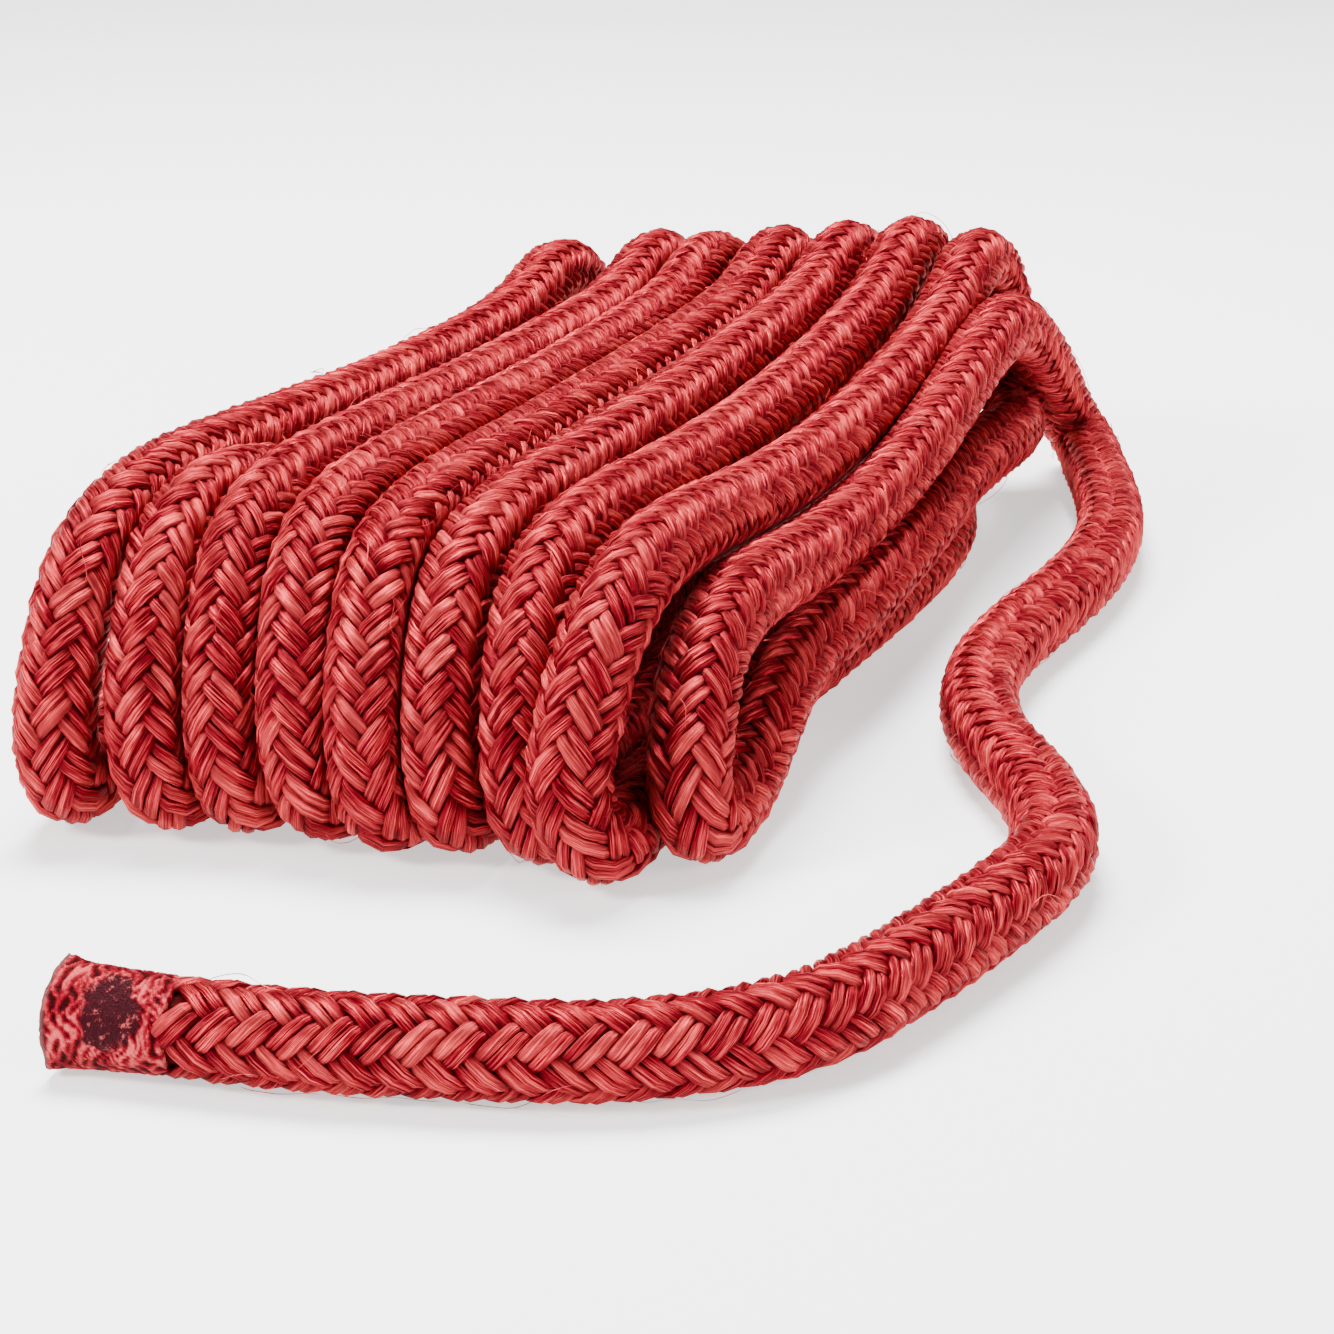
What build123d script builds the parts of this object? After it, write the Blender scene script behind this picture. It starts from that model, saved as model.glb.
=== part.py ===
from build123d import *

import math
import os
from dataclasses import dataclass

# A coiled dock line: one double-braid rope, laid up in a loose flat hank of nine turns, with one
# end running out of the hank along the floor. Millimetres, +Z up, floor at Z = 0. The hank's long
# runs lie along Y and its turns are stacked along X. The origin is on the hank's flat underside.

# Driving dimensions
ROPE_DIAMETER = 12.7
CORE_SHARE = 0.72  # the braided core's diameter as a share of the rope's
SEAL_LENGTH = 14.2  # stretch of each end that is melted into one piece
SEAL_CHAMFER = 0.8
HANK_LENGTH = 240.0  # over the bends, along Y
HANK_HEIGHT = 50.0  # over the upper runs, along Z
TURN_WIDTH_SHARE = 0.82  # a turn's width in the hank's outer shape, in rope diameters
GROOVE_SHARE = 0.25  # depth of the groove between two turns, in rope diameters
WEB_WIDTH_SHARE = 0.4  # width of the web under a groove, in rope diameters
BEND_SHARE = 0.34  # outer radius of the turns' bends as a share of the hank's height
ARC_SHARE = 0.45  # share of the shorter run beside a corner that its arc may take up

ROPE_RADIUS = ROPE_DIAMETER / 2
CORE_RADIUS = ROPE_RADIUS * CORE_SHARE
TURN_WIDTH = ROPE_DIAMETER * TURN_WIDTH_SHARE
GROOVE_DEPTH = ROPE_DIAMETER * GROOVE_SHARE
WEB_WIDTH = ROPE_DIAMETER * WEB_WIDTH_SHARE
OUTER_BEND = HANK_HEIGHT * BEND_SHARE
INNER_BEND = max(OUTER_BEND - ROPE_DIAMETER, ROPE_RADIUS / 3)

# The routes and turns below are laid out for a rope of this diameter and a hank of this length and
# height. A thicker rope spreads them in X, a longer hank in Y and a higher one in Z.
LAID_DIAMETER = 12.7
LAID_LENGTH = 240.0
LAID_HEIGHT = 50.0
ACROSS = ROPE_DIAMETER / LAID_DIAMETER
ALONG = HANK_LENGTH / LAID_LENGTH
UPWARD = HANK_HEIGHT / LAID_HEIGHT


@dataclass(frozen=True)
class Turn:
    """One turn of the hank, seen from its side as a flattened ring.

    Args:
        near_x: where the turn stands at the near end, -Y.
        far_x: where it stands at the far end, +Y.
        near_y: the rope's centre at the front of the near bend.
        far_y: the rope's centre at the back of the far bend.
        near_top: height of the rope's centre over the near bend.
        far_top: height of the rope's centre over the far bend.
    """

    near_x: float
    far_x: float
    near_y: float
    far_y: float
    near_top: float
    far_top: float


TURNS = (
    Turn(near_x=-37, far_x=-40, near_y=-110, far_y=123, near_top=43, far_top=41),
    Turn(near_x=-26, far_x=-29, near_y=-108, far_y=114, near_top=43, far_top=31),
    Turn(near_x=-15, far_x=-18, near_y=-105, far_y=127, near_top=43, far_top=43),
    Turn(near_x=-4, far_x=-7, near_y=-105, far_y=126, near_top=43, far_top=44),
    Turn(near_x=7, far_x=6, near_y=-105, far_y=127, near_top=42, far_top=45),
    Turn(near_x=18, far_x=19, near_y=-103, far_y=126, near_top=41, far_top=46),
    Turn(near_x=29, far_x=32, near_y=-103, far_y=125, near_top=41, far_top=47),
    Turn(near_x=40, far_x=45, near_y=-107, far_y=123, near_top=41, far_top=47),
    Turn(near_x=52, far_x=57.5, near_y=-95, far_y=130, near_top=32, far_top=38),
)
NEAR_LEAN = 13.0  # a near bend's top stands this far behind its foot
FAR_LEAN = 4.0  # a far bend's top stands this far in front of its foot

# Where the rope isn't coiled: points (x, y) of its centre line on the floor, from the hank to the
# free end. The first two lie inside the hank's outer shape.
TAIL_ROUTE = (
    (62.5, 137.0),
    (70.5, 111.5),
    (76.8, 91.0),
    (81.5, 70.0),
    (82.2, 47.0),
    (80.0, 24.5),
    (76.5, 2.0),
    (76.8, -20.0),
    (83.5, -42.5),
    (96.0, -61.5),
    (103.8, -82.5),
    (99.8, -104.0),
    (93.3, -126.0),
    (86.0, -146.5),
    (68.5, -160.5),
    (46.0, -166.8),
    (20.0, -171.4),
    (-4.0, -172.0),
)
# The rope's other end lies along the hank's left side.
STANDING_ROUTE = (
    (-40.0, -86.0),
    (-50.5, -66.0),
    (-55.5, -44.0),
    (-56.6, -21.0),
    (-56.0, 2.0),
    (-57.6, 25.0),
    (-56.8, 48.0),
    (-58.4, 70.0),
)
HAND_OVER_RUN = 1  # index of the run on which each route leaves the hank's outer shape
HAND_OVER_SHARE = 0.25  # how far along that run it leaves it
STUB_LENGTH = 30.0  # how far back from there the hank's outer shape follows the rope


def laid(point: tuple[float, float]) -> Vector:
    """Puts a route's point on the floor, for the rope's and the hank's real size.

    Args:
        point: x and y as laid out.

    Returns:
        The rope's centre there, one rope radius above the floor.
    """
    return Vector(point[0] * ACROSS, point[1] * ALONG, ROPE_RADIUS)


def arc_radii(points: list[Vector]) -> list[float]:
    """Works out the largest arc that the two runs beside each corner allow.

    Args:
        points: the path's points, ends included.

    Returns:
        One radius for each point but the first and the last.
    """
    radii = []
    for before, corner, after in zip(points, points[1:], points[2:]):
        run_in, run_out = corner - before, after - corner
        half_turn = math.radians(run_in.get_angle(run_out)) / 2
        shorter = min(run_in.length, run_out.length)
        radii.append(ARC_SHARE * shorter / math.tan(half_turn))
    return radii


def rod(points: list[Vector], radius: float) -> Solid:
    """Sweeps a full round section along straight runs joined by tangent arcs.

    Args:
        points: the path's points, ends included.
        radius: the section's radius.

    Returns:
        The swept solid.
    """
    radii = arc_radii(points)
    path = FilletPolyline(*points, radius=radii)
    section = Plane(origin=path @ 0, z_dir=path % 0) * Circle(radius)
    return sweep(section, path=path)


def between(turn: Turn, other: Turn) -> Turn:
    """Gives the turn midway between two neighbours that stays inside both their outlines.

    Args:
        turn: one neighbour.
        other: the next one.

    Returns:
        A turn as short and as low as the smaller of the two at each end.
    """
    return Turn(
        near_x=(turn.near_x + other.near_x) / 2,
        far_x=(turn.far_x + other.far_x) / 2,
        near_y=max(turn.near_y, other.near_y),
        far_y=min(turn.far_y, other.far_y),
        near_top=min(turn.near_top, other.near_top),
        far_top=min(turn.far_top, other.far_top),
    )


def ring(turn: Turn, width: float, inset: float = 0.0) -> Part:
    """Builds a flattened ring, upright along a turn's own line from near to far.

    Args:
        turn: the turn's place and heights.
        width: the ring's width across its plane.
        inset: how far its walls lie inside the surfaces of a turn of the rope's thickness.

    Returns:
        The ring.
    """
    near = turn.near_y * ALONG - ROPE_RADIUS
    far = turn.far_y * ALONG + ROPE_RADIUS
    near_top = turn.near_top * UPWARD + ROPE_RADIUS
    far_top = turn.far_top * UPWARD + ROPE_RADIUS
    outline = Polygon(
        (near, 0), (far, 0), (far - FAR_LEAN, far_top), (near + NEAR_LEAN, near_top), align=None
    )
    outside = offset(outline, -inset, kind=Kind.INTERSECTION) if inset else outline
    hole = offset(outline, inset - ROPE_DIAMETER, kind=Kind.INTERSECTION)
    section = fillet(outside.vertices(), OUTER_BEND - inset)
    section -= fillet(hole.vertices(), INNER_BEND + inset)
    slab = extrude(Plane.YZ * section, width / 2, both=True)
    near_x, far_x = turn.near_x * ACROSS, turn.far_x * ACROSS
    fan = (far_x - near_x) / (far - near)
    return Pos(near_x - near * fan, 0, 0) * Rot(0, 0, -math.degrees(math.atan(fan))) * slab


def hank_shape() -> Part:
    """Builds the outer shape of the nine turns: a ring for each, webs between them.

    Returns:
        One solid, the turns joined under the grooves between them.
    """
    shape = Part()
    for turn in TURNS:
        shape += ring(turn, TURN_WIDTH)
    for turn, following in zip(TURNS, TURNS[1:]):
        shape += ring(between(turn, following), WEB_WIDTH, inset=GROOVE_DEPTH)
    return shape


def free_route(route: tuple[tuple[float, float], ...]) -> list[Vector]:
    """Gives the stretch of a route that lies outside the hank.

    Args:
        route: the route's laid-out points, from the hank to the free end.

    Returns:
        The point where the route leaves the hank's outer shape, on a straight run, and all after it.
    """
    points = [laid(point) for point in route]
    start, end = points[HAND_OVER_RUN], points[HAND_OVER_RUN + 1]
    leaving = start + (end - start) * HAND_OVER_SHARE
    return [leaving] + points[HAND_OVER_RUN + 1 :]


def stub(points: list[Vector]) -> Part:
    """Builds the block in which the hank's outer shape follows the rope out of the turns.

    Args:
        points: the free stretch's points.

    Returns:
        A block as wide and as high as the rope, ending where the free stretch starts.
    """
    direction = (points[1] - points[0]).normalized()
    across = direction.cross(Vector(0, 0, 1))
    end_plane = Plane(origin=points[0], x_dir=across, z_dir=-direction)
    return extrude(end_plane * Rectangle(ROPE_DIAMETER, ROPE_DIAMETER), STUB_LENGTH)


def free_stretch(points: list[Vector]) -> tuple[Part, Part, Part]:
    """Builds a free end of the rope: the braided cover, the core in it and the melted tip.

    Args:
        points: the stretch's points, the last one at the rope's cut face.

    Returns:
        Cover, core and seal.
    """
    tip_direction = (points[-1] - points[-2]).normalized()
    seal_start = points[-1] - tip_direction * SEAL_LENGTH
    path = points[:-1] + [seal_start]
    core = rod(path, CORE_RADIUS)
    cover = rod(path, ROPE_RADIUS) - core
    at_seal = Plane(origin=seal_start, z_dir=tip_direction)
    blank = extrude(at_seal * Circle(ROPE_RADIUS), SEAL_LENGTH)
    cut_face = blank.faces().sort_by(Axis(seal_start, tip_direction))[-1]
    seal = chamfer(cut_face.edges(), SEAL_CHAMFER)
    return cover, core, seal


def describe(name: str, points: list[Vector]) -> None:
    """Prints a stretch's arc radii, its length and how true its swept volume is."""
    radii = arc_radii(points)
    path = FilletPolyline(*points, radius=radii)
    swept = rod(points, ROPE_RADIUS).volume
    ratio = swept / (math.pi * ROPE_RADIUS**2 * path.length)
    print(name, "radii", [round(radius, 1) for radius in radii])
    print(name, "length", round(path.length, 1), "swept volume / section x length", round(ratio, 4))


def build() -> dict[str, Part]:
    """Builds every node of the dock line.

    Returns:
        Node names and their solids.
    """
    tail = free_route(TAIL_ROUTE)
    standing = free_route(STANDING_ROUTE)
    describe("tail", tail)
    describe("standing end", standing)

    hank = hank_shape() + stub(tail) + stub(standing)

    tail_cover, tail_core, tail_seal = free_stretch(tail)
    standing_cover, standing_core, standing_seal = free_stretch(standing)
    return {
        "hank": hank,
        "tail_cover": tail_cover,
        "tail_core": tail_core,
        "tail_end_seal": tail_seal,
        "standing_cover": standing_cover,
        "standing_core": standing_core,
        "standing_end_seal": standing_seal,
    }


def main() -> None:
    """Writes one STEP file for each node."""
    os.makedirs("parts", exist_ok=True)
    for name, shape in build().items():
        shape.label = name
        export_step(shape, f"parts/{name}.step")


if __name__ == "__main__":
    main()
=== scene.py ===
"""A coiled dock line: one red double-braid rope in a loose hank, with one end running free.

The rope's route is one smooth line: its standing end, the nine turns of the hank and the tail.
Its braided cover is built yarn by yarn around that line, over an inner body in painted shade,
and each end is melted into a hard seal. All sizes are in metres unless a name says otherwise.
"""

import logging
import math
from dataclasses import dataclass, field
from enum import Enum

import bpy
import numpy as np
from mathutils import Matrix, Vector
from mathutils.kdtree import KDTree

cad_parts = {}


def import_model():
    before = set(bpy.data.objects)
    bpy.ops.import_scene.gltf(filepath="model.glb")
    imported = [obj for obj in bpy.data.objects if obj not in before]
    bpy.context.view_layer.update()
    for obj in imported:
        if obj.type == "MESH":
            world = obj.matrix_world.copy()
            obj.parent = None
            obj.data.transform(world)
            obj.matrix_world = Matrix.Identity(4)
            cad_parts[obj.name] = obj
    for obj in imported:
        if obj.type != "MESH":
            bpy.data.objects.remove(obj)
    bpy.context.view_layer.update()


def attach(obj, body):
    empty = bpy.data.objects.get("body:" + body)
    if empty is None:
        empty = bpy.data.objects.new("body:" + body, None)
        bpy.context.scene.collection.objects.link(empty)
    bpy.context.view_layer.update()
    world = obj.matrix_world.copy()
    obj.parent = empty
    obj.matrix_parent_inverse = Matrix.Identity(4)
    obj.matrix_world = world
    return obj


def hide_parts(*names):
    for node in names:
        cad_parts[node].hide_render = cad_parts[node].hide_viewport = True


LOG = logging.getLogger("dock_line")

Colour = tuple[float, float, float, float]
Point = tuple[float, float, float]

ROPE_DIAMETER = 0.0127
ROPE_RADIUS = ROPE_DIAMETER / 2
STRANDS = 16
COVER_SEED = 12
FUZZ_SEED = 5


class Hand(Enum):
    """The way a strand of the braid winds round the rope."""

    RIGHT = 1
    LEFT = -1

    @property
    def first_crossing(self) -> float:
        """Gives where its first float lies, in strands round the rope."""
        return 0.5 if self is Hand.RIGHT else 2.5


class Slot(Enum):
    """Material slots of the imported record."""

    BRAID = "braid"
    SEAL = "seal"


# --- Shader maths ---


@dataclass(frozen=True)
class Value:
    """A socket's value in a shader, which Python's operators combine through Math nodes.

    Args:
        shader: the shader that the socket belongs to.
        socket: an output socket.
    """

    shader: "Shader"
    socket: bpy.types.NodeSocket

    def _math(self, operation: str, first: object, second: object) -> "Value":
        """Adds one Math node."""
        return self.shader.node(
            "ShaderNodeMath", {"operation": operation}, {0: first, 1: second}
        )["Value"]

    def __add__(self, other: object) -> "Value":
        """Adds."""
        return self._math("ADD", self, other)

    def __sub__(self, other: object) -> "Value":
        """Subtracts."""
        return self._math("SUBTRACT", self, other)

    def __mul__(self, other: object) -> "Value":
        """Multiplies."""
        return self._math("MULTIPLY", self, other)

    def __radd__(self, other: object) -> "Value":
        """Adds to a plain number."""
        return self._math("ADD", other, self)

    def __rsub__(self, other: object) -> "Value":
        """Subtracts from a plain number."""
        return self._math("SUBTRACT", other, self)

    def __rmul__(self, other: object) -> "Value":
        """Multiplies a plain number."""
        return self._math("MULTIPLY", other, self)

    def between(self, low: float, high: float) -> "Value":
        """Gives a smooth step between two values.

        Args:
            low: where it is 0.
            high: where it is 1.

        Returns:
            The step.
        """
        return self.shader.node(
            "ShaderNodeMapRange",
            {"interpolation_type": "SMOOTHSTEP"},
            {"Value": self, "From Min": low, "From Max": high},
        )["Result"]


@dataclass(frozen=True)
class Outputs:
    """The output sockets of one node.

    Args:
        shader: the shader that the node belongs to.
        made: the node.
    """

    shader: "Shader"
    made: bpy.types.Node

    def __getitem__(self, key: str | int) -> Value:
        """Gives an output by its name or number."""
        return Value(self.shader, self.made.outputs[key])


class Shader:
    """A material's node tree, built from Python expressions."""

    def __init__(self, name: str) -> None:
        """Starts an empty material.

        Args:
            name: the material's name.
        """
        self.material = bpy.data.materials.new(name)
        self.material.use_nodes = True
        self.tree = self.material.node_tree
        self.tree.nodes.clear()

    def node(self, kind: str, settings: dict, inputs: dict) -> Outputs:
        """Adds a node.

        Args:
            kind: the node's type.
            settings: its properties, set before its sockets.
            inputs: values or links, by socket name or index.

        Returns:
            The node's outputs.
        """
        made = self.tree.nodes.new(kind)
        for key, setting in settings.items():
            setattr(made, key, setting)
        for key, given in inputs.items():
            if isinstance(given, Value):
                self.tree.links.new(given.socket, made.inputs[key])
            else:
                made.inputs[key].default_value = given
        return Outputs(self, made)

    def attribute(self, name: str) -> Value:
        """Reads one of the piece's own attributes."""
        return self.node("ShaderNodeAttribute", {"attribute_name": name}, {})["Fac"]

    def noise(self, vector: Value, scale: float, detail: float = 3.0, rough: float = 0.55) -> Value:
        """Gives noise, about 0.5 in the middle.

        Args:
            vector: what it's read on.
            scale: how fine it is.
            detail: how many finer layers it has.
            rough: how strong those are.

        Returns:
            The noise.
        """
        return self.node(
            "ShaderNodeTexNoise",
            {},
            {"Vector": vector, "Scale": scale, "Detail": detail, "Roughness": rough},
        )["Fac"]

    def vector(self, x: object, y: object, z: object) -> Value:
        """Joins three numbers."""
        return self.node("ShaderNodeCombineXYZ", {}, {"X": x, "Y": y, "Z": z})["Vector"]

    def mix(self, share: object, first: object, second: object) -> Value:
        """Mixes two colours, given as links or (r, g, b, 1).

        Args:
            share: how much of the second.
            first: the colour at 0.
            second: the colour at 1.

        Returns:
            The mixed colour.
        """
        # These sockets share their names with others, so they go by number.
        return self.node("ShaderNodeMix", {"data_type": "RGBA"}, {0: share, 6: first, 7: second})[2]

    def bump(self, height: Value, strength: float, distance: float) -> Value:
        """Gives a normal roughened by a height.

        Args:
            height: of the surface, from 0 to 1.
            strength: of the effect.
            distance: that a height of 1 stands for, in metres.

        Returns:
            The normal.
        """
        return self.node(
            "ShaderNodeBump", {}, {"Strength": strength, "Distance": distance, "Height": height}
        )["Normal"]

    def finish(self, inputs: dict) -> bpy.types.Material:
        """Closes the material with a Principled surface.

        Args:
            inputs: the Principled node's values and links.

        Returns:
            The material.
        """
        surface = self.node("ShaderNodeBsdfPrincipled", {}, inputs)["BSDF"]
        self.node("ShaderNodeOutputMaterial", {}, {"Surface": surface})
        return self.material


@dataclass(frozen=True)
class YarnFinish:
    """Glossy dyed filament yarn, with painted highlights and painted shade in its colour.

    Args:
        name: the material's name.
        shade_and_dark_yarn: painted shade between the yarns, and dark streaks and yarns.
        body: colour of the yarn.
        pale: colour of the painted highlights on filaments that catch the light.
        roughness: of the filaments.
        gloss: how far their highlights take the dye's colour, as light does inside nylon.
        relief: depth of the filaments.
    """

    name: str
    shade_and_dark_yarn: Colour
    body: Colour
    pale: Colour
    roughness: float = 0.36
    gloss: float = 0.55
    relief: float = 0.0004

    def make(self) -> bpy.types.Material:
        """Builds the material.

        Returns:
            The material, ready for a mesh.
        """
        shader = Shader(self.name)
        across = shader.attribute("across")
        along = shader.attribute("along")
        tone = shader.attribute("tone")
        height = shader.attribute("height")
        # Filaments lie along the yarn with a slight twist.
        twisted = across * 2.6 + along * 0.55
        strands = shader.noise(shader.vector(twisted, along * 0.28, tone * 37.0), 3.4, 1.0, 0.6)
        fine = shader.noise(shader.vector(twisted, along * 0.2, tone * 61.0), 8.5, 2.0, 0.65)
        fibres = strands * 0.5 + fine * 0.5
        patch = shader.noise(shader.vector(across, along * 0.7, tone * 13.0), 1.7, 1.0)
        # Painted shade: the yarn's colour darkens as it sinks below the tops of the floats.
        lit = height.between(0.35, 0.95)
        shade = shader.mix(lit, self.shade_and_dark_yarn, self.body)
        # Painted highlight: pale streaks and patches high on each yarn, most on its crest.
        crest = height.between(0.75, 1.0) * 0.5 + 0.5
        painted_highlight = (fibres.between(0.48, 0.63) * 0.8 + patch.between(0.45, 0.75) * 0.2) * lit * crest
        colour = shader.mix(painted_highlight, shade, self.pale)
        dark = fibres.between(0.51, 0.40) * 0.85
        streaked = shader.mix(dark, colour, self.shade_and_dark_yarn)
        # Painted highlight: floats picked at random are lit paler, as filaments facing the light
        # would be.
        painted_float_highlight = shader.mix(tone.between(0.55, 1.0) * 0.20 * lit, streaked, self.pale)
        toned = shader.mix(tone.between(0.5, 0.0) * 0.25, painted_float_highlight, self.shade_and_dark_yarn)
        return shader.finish(
            {
                "Base Color": toned,
                "Metallic": self.gloss,
                "Roughness": self.roughness + (fibres - 0.5) * 0.4,
                "Normal": shader.bump(fibres, 1.0, self.relief),
                "Specular IOR Level": 0.10,
                "Specular Tint": (1.0, 0.30, 0.28, 1.0),
            }
        )


@dataclass(frozen=True)
class SealFinish:
    """Filaments melted together by heat: a dark glassy patch among pressed, crushed yarn.

    Args:
        name: the material's name.
        burnt: colour of the melted patch.
        shade_and_dark_yarn: painted shade down between the folds.
        body: colour of the pressed yarn.
        pale: colour of the painted highlights on the crests, and of the painted glints.
        rim: colour of the scorched rim of the cut face.
    """

    name: str
    burnt: Colour
    shade_and_dark_yarn: Colour
    body: Colour
    pale: Colour
    rim: Colour

    def make(self) -> bpy.types.Material:
        """Builds the material.

        Returns:
            The material, ready for a mesh.
        """
        shader = Shader(self.name)
        place = shader.node("ShaderNodeTexCoord", {}, {})["Object"]
        melted = shader.attribute("melt")
        height = shader.attribute("height")
        grain = shader.noise(place, 1500.0, 4.0, 0.7)
        blotch = shader.noise(place, 420.0, 3.0, 0.6)
        patch = (melted + (blotch - 0.5) * 1.1).between(0.40, 0.62)
        # Painted highlight on the crests of the crushed yarn, and painted shade down in its folds.
        crest = (height + (grain - 0.5) * 0.7).between(0.62, 1.0)
        fold_shade = (height + (grain - 0.5) * 0.4).between(0.72, 0.30)
        crest_highlighted = shader.mix(crest * 0.65, self.body, self.pale)
        fold_shaded = shader.mix(fold_shade, crest_highlighted, self.shade_and_dark_yarn)
        # Painted glints: pale specks of highlight on the melted patch.
        glints = (grain * 0.6 + blotch * 0.4).between(0.54, 0.64) * patch
        colour = shader.mix(patch, fold_shaded, self.burnt)
        glinting = shader.mix(glints * 0.45, colour, self.pale)
        return shader.finish(
            {
                "Base Color": shader.mix(shader.attribute("rim") * 0.8, glinting, self.rim),
                "Metallic": 0.45 - patch * 0.2,
                "Roughness": 0.44 - patch * 0.1 + (grain - 0.5) * 0.4,
                "Normal": shader.bump(grain + blotch * 0.6, 0.9, 0.0005),
                "Specular IOR Level": 0.12,
                "Specular Tint": (1.0, 0.40, 0.38, 1.0),
            }
        )


@dataclass(frozen=True)
class FloorFinish:
    """Plain pale matt floor.

    Args:
        name: the material's name.
        colour: its colour.
        glow: light that it gives off itself, so that shadows on it stay pale.
    """

    name: str
    colour: Colour
    glow: float = 0.9

    def make(self) -> bpy.types.Material:
        """Builds the material.

        Returns:
            The material, ready for a mesh.
        """
        shader = Shader(self.name)
        place = shader.node("ShaderNodeTexCoord", {}, {})["Object"]
        cloud = shader.noise(place, 3.0, 2.0)
        faint = tuple(0.97 * part for part in self.colour[:3]) + (1.0,)
        return shader.finish(
            {
                "Base Color": shader.mix(cloud, faint, self.colour),
                "Roughness": 0.85 + (cloud - 0.5) * 0.1,
                "Emission Color": (1.0, 1.0, 1.0, 1.0),
                "Emission Strength": self.glow,
            }
        )


# --- The rope's route ---


@dataclass(frozen=True)
class Turn:
    """One turn of the hank, all sizes in rope diameters.

    Args:
        foot: where the near bend's foot stands, along X.
        top: where the near bend's top stands, along X.
        far: where the far bend stands, along X.
        front: the near bend's front, along Y.
        back: the far bend's back, along Y.
        near_height: height of the rope's centre over the near bend.
        far_height: height of the rope's centre at the far bend.
        sag: how far the upper run sags between its bends.
        curl: how far the near bend's foot curls to the right.
        splay: how far the far bend's foot splays to the right.
        beneath: points of the lower run that follows, where it isn't a plain one.
    """

    foot: float
    top: float
    far: float
    front: float
    back: float
    near_height: float
    far_height: float
    sag: float
    curl: float = 0.0
    splay: float = 0.0
    beneath: tuple[Point, ...] = ()


# The lower runs after the seventh and eighth turns, in rope diameters.
UNDER_SEVENTH = (
    (3.40, 7.4, 0.5), (4.10, 5.0, 0.5), (4.15, 2.4, 0.5),
    (3.75, -1.5, 0.5), (3.45, -4.5, 0.5),
)
UNDER_EIGHTH = (
    (4.45, 7.5, 1.36), (4.34, 4.4, 1.54), (4.42, 1.4, 1.42),
    (4.36, -1.2, 1.32), (4.15, -3.3, 1.25), (4.25, -4.8, 0.95),
)


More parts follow.
